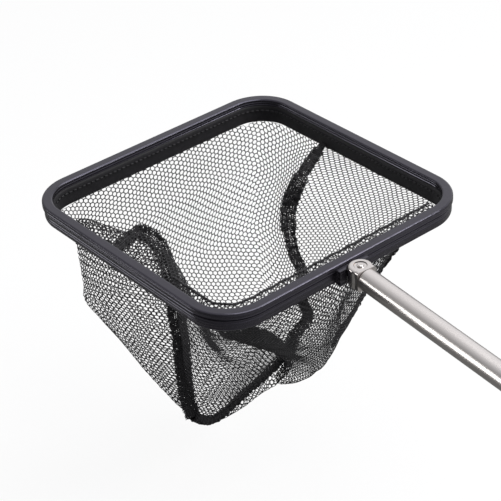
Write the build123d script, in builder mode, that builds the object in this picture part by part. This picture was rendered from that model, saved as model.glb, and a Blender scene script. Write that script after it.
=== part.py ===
"""Square fish net on a telescopic steel handle, handle pushed in, net swung a little to one side.

Row frame: the handle's tube lies along X, +X away from the net, +Z up out of the net's mouth.
The origin is on the tube's axis, half way along the outer tube. Millimetres.
"""
import os
from math import copysign, cos, hypot, pi, radians, sin, tan

from build123d import *

os.makedirs("parts", exist_ok=True)

# ---------------------------------------------------------------- driving dimensions
RIM_SIDE = 130.0            # outside of the upper ring
RIM_CORNER = 19.3           # its corner radius
RIM_WIDTH = 4.5             # flat face, outside to inside
RIM_HEIGHT = 8.6
UPPER_RING_HEIGHT = 2.6
UPPER_RING_EDGE = 0.9       # rounding of its top edges
CLAMP_GAP = 0.8             # room for the net's edge between the two rings
LOWER_RING_INSET = 0.5      # lower ring's outside, in from the upper ring's
LOWER_RING_WIDTH = 3.5
HEM_BOTTOM = -10.8          # below the rim's top face
LOWER_RING_EDGE = 1.8       # rounding of its lower outside edge
HEM_THICKNESS = 0.9
HEM_INSET = 1.1             # clamped hem's outside, in from the upper ring's
HEM_GAP = 0.05              # between the hanging hem and the lower ring
PEG_DIAMETER = 1.6
PEG_LENGTH = 3.2
PEG_CLEARANCE = 0.1         # radial
PEG_HOLE_DEPTH = 2.6
PEG_PLACES = (-42.0, -14.0, 14.0, 42.0)

SWING = 5.5                 # the rim's turn about the rivet, from square to the handle
RIVET_FROM_RIM_CENTRE = 70.6
RIVET_ASIDE = -2.0          # rivet's place along the rim's side, from the middle
AXIS_BELOW_RIM_TOP = 4.6    # the handle's axis

SEAT_START = 0.1            # pad on the rim's side that hugs the knuckle, out from that side
SEAT_DEPTH = 2.3
SEAT_WIDTH = 15.0
SEAT_TOP = -1.5
SEAT_HEIGHT = 6.6
SEAT_WEB = 2.0              # joins the pad to the lower ring
SEAT_WEB_START = -1.5
SEAT_WEB_HEIGHT = 4.2
SEAT_CLEARANCE = 0.35       # between the pad and the knuckle

TUBE_DIAMETERS = (9.0, 7.7, 6.4, 5.1)   # outer tube first
TIP_ROD_DIAMETER = 3.8
TUBE_WALL = 0.4
SECTION_STARTS = (4.1, 8.2, 8.4, 8.6, 6.5)      # from the rivet to each section's front end
SECTION_ENDS = (164.1, 158.2, 154.0, 150.0, 146.0)
MOUTH_LENGTH = 1.2          # rolled-in mouth of each tube
MOUTH_EDGE = 0.3
SLIDE_CLEARANCE = 0.05      # radial
BUSH_LENGTH = 8.0
BUSH_SLOT = 0.8
PLUG_LENGTH = 5.0           # end plug inside the tube
PLUG_HEAD = 9.0             # end plug behind the tube
PLUG_HEAD_DIAMETER = 8.6
PLUG_EDGE = 2.0
HANG_HOLE_DIAMETER = 4.0
HANG_HOLE_PLACE = 4.2       # behind the tube's end

KNUCKLE_RADIUS = 5.0
KNUCKLE_HEIGHT = 8.9
KNUCKLE_EDGE = 1.3
FORK_GAP = 0.1              # between the fork and the outer tube's mouth
NECK_DIAMETER = 6.4         # plug of the knuckle inside the outer tube's mouth
NECK_START = 2.0            # from the rivet
NECK_LENGTH = 6.0
TONGUE_THICKNESS = 2.6
TONGUE_GAP = 0.06           # on each side of the tongue, in the fork
TONGUE_NECK = 6.0           # width where the tongue enters the rim
TONGUE_START = -0.6         # out from the rim's side
TONGUE_REACH = 6.0
TONGUE_SLOT = 4.2           # depth of its slot in the seat
ROUND_GAP = 0.1             # between the tongue's round end and the fork
SHANK_DIAMETER = 2.2
SHANK_LENGTH = 2.6
SHANK_HOLE_DEPTH = 5.8
SHANK_HOLE_START = 3.0      # out from the rim's side
RIVET_DIAMETER = 2.2        # of the holes in the fork
RIVET_EASE = 0.01           # the rivet's radius is this much less
RIVET_RUNNING_GAP = 0.05    # radial, in the tongue
RIVET_WASHER_GAP = 0.02     # radial, in the washers
RIVET_HEAD_DIAMETER = 2.8
RIVET_HEAD_HEIGHT = 0.7
RIVET_HEAD_EDGE = 0.45
WASHER_DIAMETER = 4.8
WASHER_THICKNESS = 0.5
WASHER_CLEARANCE = 0.3      # radial, in its counterbore
WASHER_SEAT = 0.8           # depth of the counterbore

NET_THICKNESS = 1.0         # of the solid that stands for the net
SEAM_DIAMETER = 3.4
SEAM_HALF_GAP = 0.15        # between the two net panels, under the seam
SEAM_ARC_SHARE = 0.45       # of the shorter run, taken by the arc at each point of the seam
GRID_BAR = 3.0              # net left between two openings of the plain grid that stands for its mesh
GRID_PITCH = 18.5           # about one opening and one bar
GRID_DEPTH = 2.5            # of each opening's cut, to both sides of the net's outer face
LEAST_OPENING = 6.0         # narrower openings are left out

# Net outline by height below the rim's top face, seen from above: the left seam, the front panel's
# line to the right seam, the right seam, and the rear panel's line back to the left seam.
NET_LEVELS = {
    -10.8: ((-14, -60), ((51, -60), (60, -51), (60.4, 0), (60, 51), (51, 60)),
            (-14, 60), ((-51, 60), (-60, 51), (-60.4, 0), (-60, -51), (-51, -60))),
    -18.0: ((-13, -47), ((37, -53), (53, -46), (59.5, -3), (54, 31), (33, 49.5)),
            (-17, 45), ((-39, 53), (-56, 45), (-58, 0), (-57, -46), (-45, -49.5))),
    -30.0: ((-8, -39), ((34, -48), (48, -35), (57, -2), (51, 22), (29, 39)),
            (-16, 37), ((-36, 45), (-51, 40), (-54, 0), (-55, -42), (-46, -51))),
    -52.0: ((0, -36), ((17, -39), (33, -20), (45, 2), (43, 13), (24, 25)),
            (-4, 29), ((-24, 33), (-37, 24), (-42, -5), (-48, -44), (-42, -51))),
    -75.0: ((0, -37.5), ((12, -31), (16, -11), (26, 3), (32, 9), (15, 19)),
            (0, 25), ((-12, 19), (-21, 7), (-25, -14), (-28, -40), (-19, -44))),
    -90.0: ((0, -37.5), ((5, -27), (6, -12), (9, 1), (14, 8), (8, 14)),
            (0, 18), ((-5, 11), (-10, 0), (-13.5, -18), (-13.5, -34), (-6, -38))),
    -101.0: ((0, -33), ((2, -32), (3, -30), (3.6, -22), (3, -14), (2, -12)),
             (0, -10), ((-2, -12), (-3, -14), (-3.6, -22), (-3, -30), (-2, -32))),
}
# Seam of the net from the rim's left side, down, along the bottom and up to its right side.
SEAM_ROUTE = (
    (-14, -58, -11.5), (-12, -46, -18), (-7, -39, -30), (-1, -36, -45), (0.5, -37, -65),
    (0, -37, -84), (0, -34, -97), (0, -25, -102.5), (0, -8, -99), (0, 8, -94), (0, 19, -87),
    (0.5, 25, -75), (-3, 29, -54), (-11, 33, -40), (-16, 37, -28), (-16, 46, -18), (-14, 58, -11.5),
)

# ---------------------------------------------------------------- derived places
grip_to_rivet = (SECTION_STARTS[0] + SECTION_ENDS[0]) / 2
rivet_x = -grip_to_rivet
half_side = RIM_SIDE / 2
lower_half = half_side - LOWER_RING_INSET
inner_half = lower_half - LOWER_RING_WIDTH
lower_top = -UPPER_RING_HEIGHT - CLAMP_GAP
swung = Plane(origin=(rivet_x, 0, 0), x_dir=(cos(radians(SWING)), sin(radians(SWING)), 0))
rim_origin = swung.from_local_coords(Vector(-RIVET_FROM_RIM_CENTRE, -RIVET_ASIDE, AXIS_BELOW_RIM_TOP))
rim = Plane(origin=rim_origin, x_dir=swung.x_dir)      # rim's centre, on its top face
knuckle_half = KNUCKLE_HEIGHT / 2
rivet_in_rim = (RIVET_FROM_RIM_CENTRE, RIVET_ASIDE)
fork_end = SECTION_STARTS[0] - FORK_GAP


def ring_sketch(half, corner, width):
    """A rounded square ring, from its outside in."""
    RectangleRounded(2 * half, 2 * half, corner)
    RectangleRounded(2 * (half - width), 2 * (half - width), corner - width, mode=Mode.SUBTRACT)


def peg_locations():
    """Places of the pegs, four to a side, in the middle of the rings' width."""
    middle = half_side - RIM_WIDTH / 2
    return [(s * middle, y) for s in (-1, 1) for y in PEG_PLACES] + [
        (x, s * middle) for s in (-1, 1) for x in PEG_PLACES
    ]


def across(x):
    """A plane square to the handle, at x from the rivet."""
    return Plane(origin=(rivet_x + x, 0, 0), x_dir=(0, 1, 0), z_dir=(1, 0, 0))


# ---------------------------------------------------------------- upper ring of the rim
with BuildPart() as rim_top_ring:
    with BuildSketch(rim):
        ring_sketch(half_side, RIM_CORNER, RIM_WIDTH)
    extrude(amount=-UPPER_RING_HEIGHT)
    fillet(rim_top_ring.faces().sort_by(Axis.Z)[-1].edges(), UPPER_RING_EDGE)
    with BuildSketch(rim.offset(-UPPER_RING_HEIGHT)):
        with Locations(peg_locations()):
            Circle(PEG_DIAMETER / 2)
    extrude(amount=-PEG_LENGTH)
rim_top_ring.part.label = "rim_top_ring"
export_step(rim_top_ring.part, "parts/rim_top_ring.step")

# ---------------------------------------------------------------- lower ring with the knuckle's seat
with BuildPart() as rim_lower_ring:
    with BuildSketch(rim.offset(lower_top)):
        ring_sketch(lower_half, RIM_CORNER - LOWER_RING_INSET, LOWER_RING_WIDTH)
    extrude(amount=-(RIM_HEIGHT + lower_top))
    outer_edges = rim_lower_ring.faces().sort_by(Axis.Z)[0].outer_wire().edges()
    fillet(outer_edges, LOWER_RING_EDGE)
    with BuildSketch(rim.offset(SEAT_TOP)):     # seat: a pad that hugs the knuckle
        with Locations((half_side + SEAT_START + SEAT_DEPTH / 2, RIVET_ASIDE)):
            Rectangle(SEAT_DEPTH, SEAT_WIDTH)
    extrude(amount=-SEAT_HEIGHT)
    with BuildSketch(rim.offset(lower_top)):    # joins the seat to the ring
        with Locations((half_side + SEAT_WEB_START + SEAT_WEB / 2, RIVET_ASIDE)):
            Rectangle(SEAT_WEB, SEAT_WIDTH)
    extrude(amount=-SEAT_WEB_HEIGHT)
    with BuildSketch(rim):                      # hollow for the knuckle
        with Locations(rivet_in_rim):
            Circle(KNUCKLE_RADIUS + SEAT_CLEARANCE)
    extrude(amount=SEAT_TOP - SEAT_HEIGHT, mode=Mode.SUBTRACT)
    with BuildSketch(rim.offset(lower_top)):
        with Locations(peg_locations()):
            Circle(PEG_DIAMETER / 2 + PEG_CLEARANCE)
    extrude(amount=-PEG_HOLE_DEPTH, mode=Mode.SUBTRACT)
    shank_hole = Plane(
        origin=rim.from_local_coords(Vector(half_side + SHANK_HOLE_START, RIVET_ASIDE, -AXIS_BELOW_RIM_TOP)),
        x_dir=rim.y_dir, z_dir=-rim.x_dir,
    )
    with BuildSketch(shank_hole):
        Circle(SHANK_DIAMETER / 2)
    extrude(amount=SHANK_HOLE_DEPTH, mode=Mode.SUBTRACT)
    with BuildSketch(rim.offset(-AXIS_BELOW_RIM_TOP - TONGUE_THICKNESS / 2)):    # slot of the tongue
        with Locations((half_side + TONGUE_START + TONGUE_SLOT / 2, RIVET_ASIDE)):
            Rectangle(TONGUE_SLOT, TONGUE_NECK)
    extrude(amount=TONGUE_THICKNESS, mode=Mode.SUBTRACT)
rim_lower_ring.part.label = "rim_lower_ring"
export_step(rim_lower_ring.part, "parts/rim_lower_ring.step")

# ---------------------------------------------------------------- hem of the net, held by the rings
with BuildPart() as net_hem:
    with BuildSketch(rim.offset(-UPPER_RING_HEIGHT)):
        clamped_width = half_side - HEM_INSET - inner_half + HEM_THICKNESS
        ring_sketch(half_side - HEM_INSET, RIM_CORNER - HEM_INSET, clamped_width)
        with Locations(peg_locations()):
            Circle(PEG_DIAMETER / 2 + PEG_CLEARANCE, mode=Mode.SUBTRACT)
    extrude(amount=-CLAMP_GAP)
    with BuildSketch(rim.offset(lower_top)):
        ring_sketch(inner_half - HEM_GAP, RIM_CORNER - half_side + inner_half, HEM_THICKNESS - HEM_GAP)
    extrude(amount=HEM_BOTTOM - lower_top)
net_hem.part.label = "net_hem"
export_step(net_hem.part, "parts/net_hem.step")


# ---------------------------------------------------------------- net panels
def half_outline(level, side):
    """Outer line of one panel at a level, seam to seam."""
    left_seam, front_line, right_seam, rear_line = NET_LEVELS[level]
    first, line, last = (left_seam, front_line, right_seam) if side > 0 else (right_seam, rear_line, left_seam)
    apart = side * SEAM_HALF_GAP
    return [(first[0] + apart, first[1]), *line, (last[0] + apart, last[1])]


def inset(line, thickness):
    """The same line moved to its left by the net's thickness, its ends kept at their own x."""
    normals = []
    for (x_1, y_1), (x_2, y_2) in zip(line, line[1:]):
        length = hypot(x_2 - x_1, y_2 - y_1)
        normals.append(((y_1 - y_2) / length, (x_2 - x_1) / length))
    moved = []
    for (x, y), (nx_1, ny_1), (nx_2, ny_2) in zip(line[1:-1], normals, normals[1:]):
        share = thickness / (1 + nx_1 * nx_2 + ny_1 * ny_2)
        moved.append((x + share * (nx_1 + nx_2), y + share * (ny_1 + ny_2)))
    ends = [(x, y + thickness * copysign(1, normal[1])) for (x, y), normal in ((line[0], normals[0]),
                                                                             (line[-1], normals[-1]))]
    return [ends[0], *moved, ends[1]]


def opening_shares(length):
    """Start and end of each opening along a length of net, as shares of it, half a bar in from its ends."""
    count = max(1, round(length / GRID_PITCH))
    if length / count < LEAST_OPENING + GRID_BAR:
        return []
    half_bar = GRID_BAR / 2 / length
    return [(i / count + half_bar, (i + 1) / count - half_bar) for i in range(count)]


def net_grid(side):
    """Four corners of each opening of the plain grid in one panel."""
    levels = list(NET_LEVELS)
    openings = []
    for upper, lower in zip(levels, levels[1:]):
        top, bottom = [
            [rim.from_local_coords(Vector(x, y, level)) for x, y in half_outline(level, side)]
            for level in (upper, lower)
        ]
        for a, b, c, d in zip(top, top[1:], bottom[1:], bottom):
            width = ((b - a).length + (c - d).length) / 2
            height = ((d - a).length + (c - b).length) / 2
            for left, right in opening_shares(width):
                for high, low in opening_shares(height):
                    openings.append([
                        (a * (1 - u) + b * u) * (1 - v) + (d * (1 - u) + c * u) * v
                        for u, v in ((left, high), (right, high), (right, low), (left, low))
                    ])
    return openings


def panel(side):
    """One panel of the net: side 1 is the front, by the handle, and -1 the rear."""
    with BuildPart() as cloth:
        for level in NET_LEVELS:
            outline = half_outline(level, side)
            with BuildSketch(rim.offset(level)):
                with BuildLine():
                    Polyline(*outline, *reversed(inset(outline, NET_THICKNESS)), close=True)
                make_face()
        loft(ruled=True)
        for first, second, third, fourth in net_grid(side):
            face = Plane(
                origin=(first + second + third + fourth) / 4,
                x_dir=second - first, z_dir=(third - first).cross(fourth - second),
            )
            corners = [face.to_local_coords(corner) for corner in (first, second, third, fourth)]
            with BuildSketch(face):
                with BuildLine():
                    Polyline(*[(corner.X, corner.Y) for corner in corners], close=True)
                make_face()
        extrude(amount=GRID_DEPTH, both=True, mode=Mode.SUBTRACT)
    return cloth.part


net_front_panel = panel(1)
net_front_panel.label = "net_front_panel"
export_step(net_front_panel, "parts/net_front_panel.step")

net_rear_panel = panel(-1)
net_rear_panel.label = "net_rear_panel"
export_step(net_rear_panel, "parts/net_rear_panel.step")

# ---------------------------------------------------------------- seam that joins the panels
route = [rim.from_local_coords(Vector(*point)) for point in SEAM_ROUTE]
radii = []
for before, here, after in zip(route, route[1:], route[2:]):
    turn = (here - before).get_angle(after - here)
    shorter = min((here - before).length, (after - here).length)
    radii.append(SEAM_ARC_SHARE * shorter / tan(radians(turn / 2)))
with BuildPart() as net_seam:
    with BuildLine() as seam_line:
        FilletPolyline(*route, radius=radii)
    with BuildSketch(Plane(origin=seam_line.line @ 0, z_dir=seam_line.line % 0)):
        Circle(SEAM_DIAMETER / 2)
    sweep()
net_seam.part.label = "net_seam"
export_step(net_seam.part, "parts/net_seam.step")
seam_volume = pi * (SEAM_DIAMETER / 2) ** 2 * seam_line.wire().length
print(f"seam {seam_line.wire().length:.1f} long, least radius {min(radii):.1f}, "
      f"volume {net_seam.part.volume:.0f} against {seam_volume:.0f}")

# ---------------------------------------------------------------- stub: tongue and shank in the rim
stub_mid = rim.offset(-AXIS_BELOW_RIM_TOP)
with BuildPart() as rim_stub:
    with BuildSketch(stub_mid.offset(-TONGUE_THICKNESS / 2)):
        with Locations(rivet_in_rim):
            Circle(KNUCKLE_RADIUS - ROUND_GAP)
        with Locations((half_side + TONGUE_START + TONGUE_REACH / 2, RIVET_ASIDE)):
            Rectangle(TONGUE_REACH, TONGUE_NECK)
        with Locations(rivet_in_rim):
            Circle(RIVET_DIAMETER / 2 + RIVET_RUNNING_GAP, mode=Mode.SUBTRACT)
    extrude(amount=TONGUE_THICKNESS)
    with BuildSketch(shank_hole.offset(SHANK_HOLE_DEPTH - SHANK_LENGTH)):
        Circle(SHANK_DIAMETER / 2)
    extrude(amount=SHANK_LENGTH)
rim_stub.part.label = "rim_stub"
export_step(rim_stub.part, "parts/rim_stub.step")

# ---------------------------------------------------------------- knuckle: fork at the rod's end
with BuildPart() as knuckle_fork:
    with BuildSketch(Plane.XY.offset(-knuckle_half)):
        with Locations((rivet_x, 0)):
            Circle(KNUCKLE_RADIUS)
        with Locations((rivet_x + fork_end / 2, 0)):
            Rectangle(fork_end, TUBE_DIAMETERS[0])
        with Locations((rivet_x + fork_end + KNUCKLE_RADIUS, 0)):
            Rectangle(2 * KNUCKLE_RADIUS, 3 * KNUCKLE_RADIUS, mode=Mode.SUBTRACT)
    extrude(amount=KNUCKLE_HEIGHT)
    ends = knuckle_fork.faces().filter_by(Axis.Z).edges().filter_by(
        lambda e: abs(e.center().X - (rivet_x + fork_end)) > FORK_GAP / 2
    )
    fillet(ends, KNUCKLE_EDGE)
    with BuildSketch(across(NECK_START)):
        Circle(NECK_DIAMETER / 2)
    extrude(amount=NECK_LENGTH)
    with BuildSketch(Plane.XY.offset(-TONGUE_THICKNESS / 2 - TONGUE_GAP)):
        with Locations((rivet_x, 0)):
            Circle(KNUCKLE_RADIUS + ROUND_GAP)
        with Locations((rivet_x - KNUCKLE_RADIUS, 0)):
            Rectangle(2 * KNUCKLE_RADIUS, 3 * KNUCKLE_RADIUS)
    extrude(amount=TONGUE_THICKNESS + 2 * TONGUE_GAP, mode=Mode.SUBTRACT)
    with Locations((rivet_x, 0, knuckle_half)):
        CounterBoreHole(RIVET_DIAMETER / 2, WASHER_DIAMETER / 2 + WASHER_CLEARANCE, WASHER_SEAT)
    with Locations(Location((rivet_x, 0, -knuckle_half), (180, 0, 0))):
        CounterBoreHole(RIVET_DIAMETER / 2, WASHER_DIAMETER / 2 + WASHER_CLEARANCE, WASHER_SEAT)
    with BuildSketch(across(SECTION_STARTS[4])):
        Circle(TIP_ROD_DIAMETER / 2)
    extrude(amount=NECK_LENGTH, mode=Mode.SUBTRACT)
knuckle_fork.part.label = "knuckle_fork"
export_step(knuckle_fork.part, "parts/knuckle_fork.step")

# ---------------------------------------------------------------- washers in the two counterbores
washer_seat = knuckle_half - WASHER_SEAT
with BuildPart() as rivet_washers:
    for low in (washer_seat, -washer_seat - WASHER_THICKNESS):
        with BuildSketch(Plane.XY.offset(low)):
            with Locations((rivet_x, 0)):
                Circle(WASHER_DIAMETER / 2)
                Circle(RIVET_DIAMETER / 2 + RIVET_WASHER_GAP, mode=Mode.SUBTRACT)
        extrude(amount=WASHER_THICKNESS)
rivet_washers.part.label = "rivet_washers"
export_step(rivet_washers.part, "parts/rivet_washers.step")

# ---------------------------------------------------------------- rivet, a head on each end
head_base = washer_seat + WASHER_THICKNESS
with BuildPart() as hinge_rivet:
    with BuildSketch(Plane.XY.offset(-head_base)):
        with Locations((rivet_x, 0)):
            Circle(RIVET_DIAMETER / 2 - RIVET_EASE)
    extrude(amount=2 * head_base)
    for low in (head_base, -head_base - RIVET_HEAD_HEIGHT):
        with BuildSketch(Plane.XY.offset(low)):
            with Locations((rivet_x, 0)):
                Circle(RIVET_HEAD_DIAMETER / 2)
        extrude(amount=RIVET_HEAD_HEIGHT)
    fillet(hinge_rivet.faces().sort_by(Axis.Z)[-1].edges(), RIVET_HEAD_EDGE)
    fillet(hinge_rivet.faces().sort_by(Axis.Z)[0].edges(), RIVET_HEAD_EDGE)
hinge_rivet.part.label = "hinge_rivet"
export_step(hinge_rivet.part, "parts/hinge_rivet.step")

# ---------------------------------------------------------------- telescopic tubes
section_names = ("grip_tube", "second_tube", "third_tube", "fourth_tube")
inner_diameters = (*TUBE_DIAMETERS[1:], TIP_ROD_DIAMETER)
for name, diameter, inner, start, end in zip(
    section_names, TUBE_DIAMETERS, inner_diameters, SECTION_STARTS, SECTION_ENDS
):
    with BuildPart() as tube:
        with BuildSketch(across(start)):
            Circle(diameter / 2)
            Circle(diameter / 2 - TUBE_WALL, mode=Mode.SUBTRACT)
        extrude(amount=end - start)
        with BuildSketch(across(start)):        # mouth, rolled in onto the next section
            Circle(diameter / 2)
            Circle(inner / 2 + SLIDE_CLEARANCE, mode=Mode.SUBTRACT)
        extrude(amount=MOUTH_LENGTH)
        fillet(tube.faces().sort_by(Axis.X)[0].outer_wire().edges(), MOUTH_EDGE)
    tube.part.label = name
    export_step(tube.part, f"parts/{name}.step")

with BuildPart() as tip_rod:
    with BuildSketch(across(SECTION_STARTS[4])):
        Circle(TIP_ROD_DIAMETER / 2)
    extrude(amount=SECTION_ENDS[4] - SECTION_STARTS[4])
tip_rod.part.label = "tip_rod"
export_step(tip_rod.part, "parts/tip_rod.step")

# ---------------------------------------------------------------- split spring bushes, one to a moving section
for name, outer, inner, end in zip(
    ("second_bush", "third_bush", "fourth_bush", "tip_bush"),
    TUBE_DIAMETERS, inner_diameters, SECTION_ENDS[1:],
):
    with BuildPart() as bush:
        with BuildSketch(across(end - BUSH_LENGTH)):
            Circle(outer / 2 - TUBE_WALL - SLIDE_CLEARANCE)
            Circle(inner / 2, mode=Mode.SUBTRACT)
            with Locations((outer / 2, 0)):
                Rectangle(outer, BUSH_SLOT, mode=Mode.SUBTRACT)
        extrude(amount=BUSH_LENGTH)
    bush.part.label = name
    export_step(bush.part, f"parts/{name}.step")

# ---------------------------------------------------------------- end plug with the hanging hole
plug_start = SECTION_ENDS[0]
with BuildPart() as end_plug:
    with BuildSketch(across(plug_start - PLUG_LENGTH)):
        Circle(TUBE_DIAMETERS[0] / 2 - TUBE_WALL)
    extrude(amount=PLUG_LENGTH)
    with BuildSketch(across(plug_start)):
        Circle(PLUG_HEAD_DIAMETER / 2)
    extrude(amount=PLUG_HEAD)
    fillet(end_plug.faces().sort_by(Axis.X)[-1].edges(), PLUG_EDGE)
    with Locations((rivet_x + plug_start + HANG_HOLE_PLACE, 0, 0)):
        Hole(HANG_HOLE_DIAMETER / 2)
end_plug.part.label = "end_plug"
export_step(end_plug.part, "parts/end_plug.step")
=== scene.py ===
# %% [markdown]
# A small square fish net on a telescopic steel handle. Its two plastic rings clamp a bag of fine
# knitted netting, and a riveted knuckle joins the rings to the handle. The hard pieces come from
# the CAD frame as they are and only get finishes here. The soft ones are built here: the two net
# panels, the seam that joins them and the hem that the rings hold.

# %% Load the frame
import math

import bmesh
import bpy
import numpy as np
from mathutils import Matrix, Vector, noise


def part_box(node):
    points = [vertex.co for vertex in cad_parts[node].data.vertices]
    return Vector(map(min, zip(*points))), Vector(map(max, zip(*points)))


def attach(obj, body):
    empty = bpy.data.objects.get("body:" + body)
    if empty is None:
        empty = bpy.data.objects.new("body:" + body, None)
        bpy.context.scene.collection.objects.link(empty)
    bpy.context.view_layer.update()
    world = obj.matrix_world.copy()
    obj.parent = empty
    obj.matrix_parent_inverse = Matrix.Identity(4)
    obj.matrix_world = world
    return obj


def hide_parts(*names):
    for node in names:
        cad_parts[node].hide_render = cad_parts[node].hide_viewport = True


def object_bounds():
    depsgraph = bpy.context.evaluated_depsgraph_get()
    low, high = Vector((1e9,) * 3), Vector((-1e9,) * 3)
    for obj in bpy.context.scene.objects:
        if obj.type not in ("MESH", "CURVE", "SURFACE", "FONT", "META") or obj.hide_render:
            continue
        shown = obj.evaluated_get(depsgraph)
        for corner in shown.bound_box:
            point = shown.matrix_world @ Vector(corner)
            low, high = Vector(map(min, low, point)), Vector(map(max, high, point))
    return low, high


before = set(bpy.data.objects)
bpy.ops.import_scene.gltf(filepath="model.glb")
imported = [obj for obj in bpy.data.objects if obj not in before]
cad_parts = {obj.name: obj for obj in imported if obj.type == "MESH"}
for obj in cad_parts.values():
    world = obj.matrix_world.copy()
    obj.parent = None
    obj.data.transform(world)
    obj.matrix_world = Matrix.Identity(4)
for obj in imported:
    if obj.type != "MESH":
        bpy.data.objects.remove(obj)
cad_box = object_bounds()
print("CAD box", [tuple(round(x, 4) for x in corner) for corner in cad_box])

# %% [markdown]
# The net is easiest to describe from the middle of the rim, in millimetres, with X towards the
# handle and Z up out of the mouth. One matrix takes such a point to the frame: the rim's centre is
# read from the top ring's box, and the rim is swung a few degrees on its rivet.

# %% The rim's own place
MM = 0.001
SWING = math.radians(5.5)
ring_low, ring_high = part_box("rim_top_ring")
rim_centre = Vector(((ring_low.x + ring_high.x) / 2, (ring_low.y + ring_high.y) / 2, ring_high.z))
FROM_RIM = Matrix.Translation(rim_centre) @ Matrix.Rotation(SWING, 4, "Z") @ Matrix.Scale(MM, 4)
print("rim centre", tuple(round(x, 4) for x in rim_centre))

# %% [markdown]
# The camera looks down on the near corner of the rim through a long lens, from about 68 cm away.
# It could be placed by eye, but the rim is a rounded square, and how its outline narrows with
# distance says where the camera stood. So its place was solved from that outline.

# %% Camera
CAMERA_PLACE = Vector((459.0, -353.3, 355.0))
VIEW_AZIMUTH = math.radians(52.36)
VIEW_ELEVATION = math.radians(33.46)
VIEW_ROLL = math.radians(-4.12)
LENS = 120.15                       # mm, behind which the picture is 36 mm wide
PICTURE_WIDTH = 36
to_camera = np.array((
    math.sin(VIEW_AZIMUTH) * math.cos(VIEW_ELEVATION),
    -math.cos(VIEW_AZIMUTH) * math.cos(VIEW_ELEVATION),
    math.sin(VIEW_ELEVATION),
))
scene = bpy.context.scene
camera = bpy.data.objects.new("camera", bpy.data.cameras.new("camera"))
camera.data.sensor_width = PICTURE_WIDTH
camera.data.lens = LENS
camera.data.clip_start = 0.01
camera.matrix_world = (
    Matrix.Translation(FROM_RIM @ CAMERA_PLACE)
    @ Matrix.Rotation(SWING + VIEW_AZIMUTH, 4, "Z")
    @ Matrix.Rotation(math.pi / 2 - VIEW_ELEVATION, 4, "X")
    @ Matrix.Rotation(VIEW_ROLL, 4, "Z")
)
scene.collection.objects.link(camera)
scene.camera = camera
scene.view_settings.view_transform = "Standard"

# %% [markdown]
# The room and every finish are node trees. Each node could be added in the editor, but a helper that
# sets a node's properties and inputs by name keeps such a tree to a few lines of script.

# %% Helpers for node trees
def node(tree, kind, **values):
    """A new node, with its properties and named inputs set."""
    made = tree.nodes.new(kind)
    for name, value in values.items():
        if hasattr(made, name):
            setattr(made, name, value)
        else:
            made.inputs[name.replace("_", " ")].default_value = value
    return made


def by_ray(tree, seen, mirrored, lit):
    """A value for rays from the camera, another in reflections, and a third for diffuse light."""
    path = node(tree, "ShaderNodeLightPath")
    value = lit
    for ray, other in (("Is Glossy Ray", mirrored), ("Is Transmission Ray", seen), ("Is Camera Ray", seen)):
        choice = node(tree, "ShaderNodeMix", data_type="FLOAT")
        tree.links.new(path.outputs[ray], choice.inputs[0])
        for place, given in ((2, value), (3, other)):
            if isinstance(given, float):
                choice.inputs[place].default_value = given
            else:
                tree.links.new(given, choice.inputs[place])
        value = choice.outputs[0]
    return value


def along(tree, place, way, start, end, low, high):
    """A value that runs from low to high between two distances along a direction."""
    run = node(tree, "ShaderNodeVectorMath", operation="DOT_PRODUCT")
    run.inputs[1].default_value = way
    spread = node(tree, "ShaderNodeMapRange", From_Min=start, From_Max=end, To_Min=low, To_Max=high)
    tree.links.new(place, run.inputs[0])
    tree.links.new(run.outputs["Value"], spread.inputs["Value"])
    return spread.outputs["Result"]


# %% [markdown]
# A pale room keeps thin black yarn readable. Reflections see a room that brightens towards one
# side of the ceiling, which is what gives black plastic and steel their contrast. A photographed
# room would do that too, but a gradient is plain and needs no file.

# %% World
WORLD_LIGHT = 0.55
WORLD_COLOUR = (0.97, 0.97, 1.0, 1)
BRIGHT_SIDE = (0.2, 0.75, 0.62)     # where reflections see the room's bright end
MIRRORED_DIM = 0.06                 # the room as reflections show it, away from there and towards it
MIRRORED_BRIGHT = 1.3

world = bpy.data.worlds.new("studio")
world.use_nodes = True
scene.world = world
tree = world.node_tree
background = tree.nodes["Background"]
background.inputs["Color"].default_value = WORLD_COLOUR
ray_way = node(tree, "ShaderNodeTexCoord").outputs["Generated"]
room = along(tree, ray_way, BRIGHT_SIDE, start=-0.6, end=0.7, low=MIRRORED_DIM, high=MIRRORED_BRIGHT)
tree.links.new(by_ray(tree, 1.0, room, WORLD_LIGHT), background.inputs["Strength"])

# %% [markdown]
# The floor is one large square below the net. The camera sees it nearly white, and a small diffuse
# part keeps the soft shadow. Reflections see it darker, most of all at the left, so that the tube
# and the rings keep a dark lower edge.

# %% Floor
FLOOR_DROP = 0.03                   # below the net, in metres
FLOOR_HALF = 2.5                    # half its side, in metres
FLOOR_WHITE = 0.86                  # share of the floor that shows as plain white
FLOOR_COLOUR = (0.82, 0.82, 0.82, 1)
MIRRORED_LEFT = 0.2                 # the floor as reflections show it, at the left and at the right
MIRRORED_RIGHT = 0.5
RIGHTWARDS = (0.8, 0.6, 0)

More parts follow.
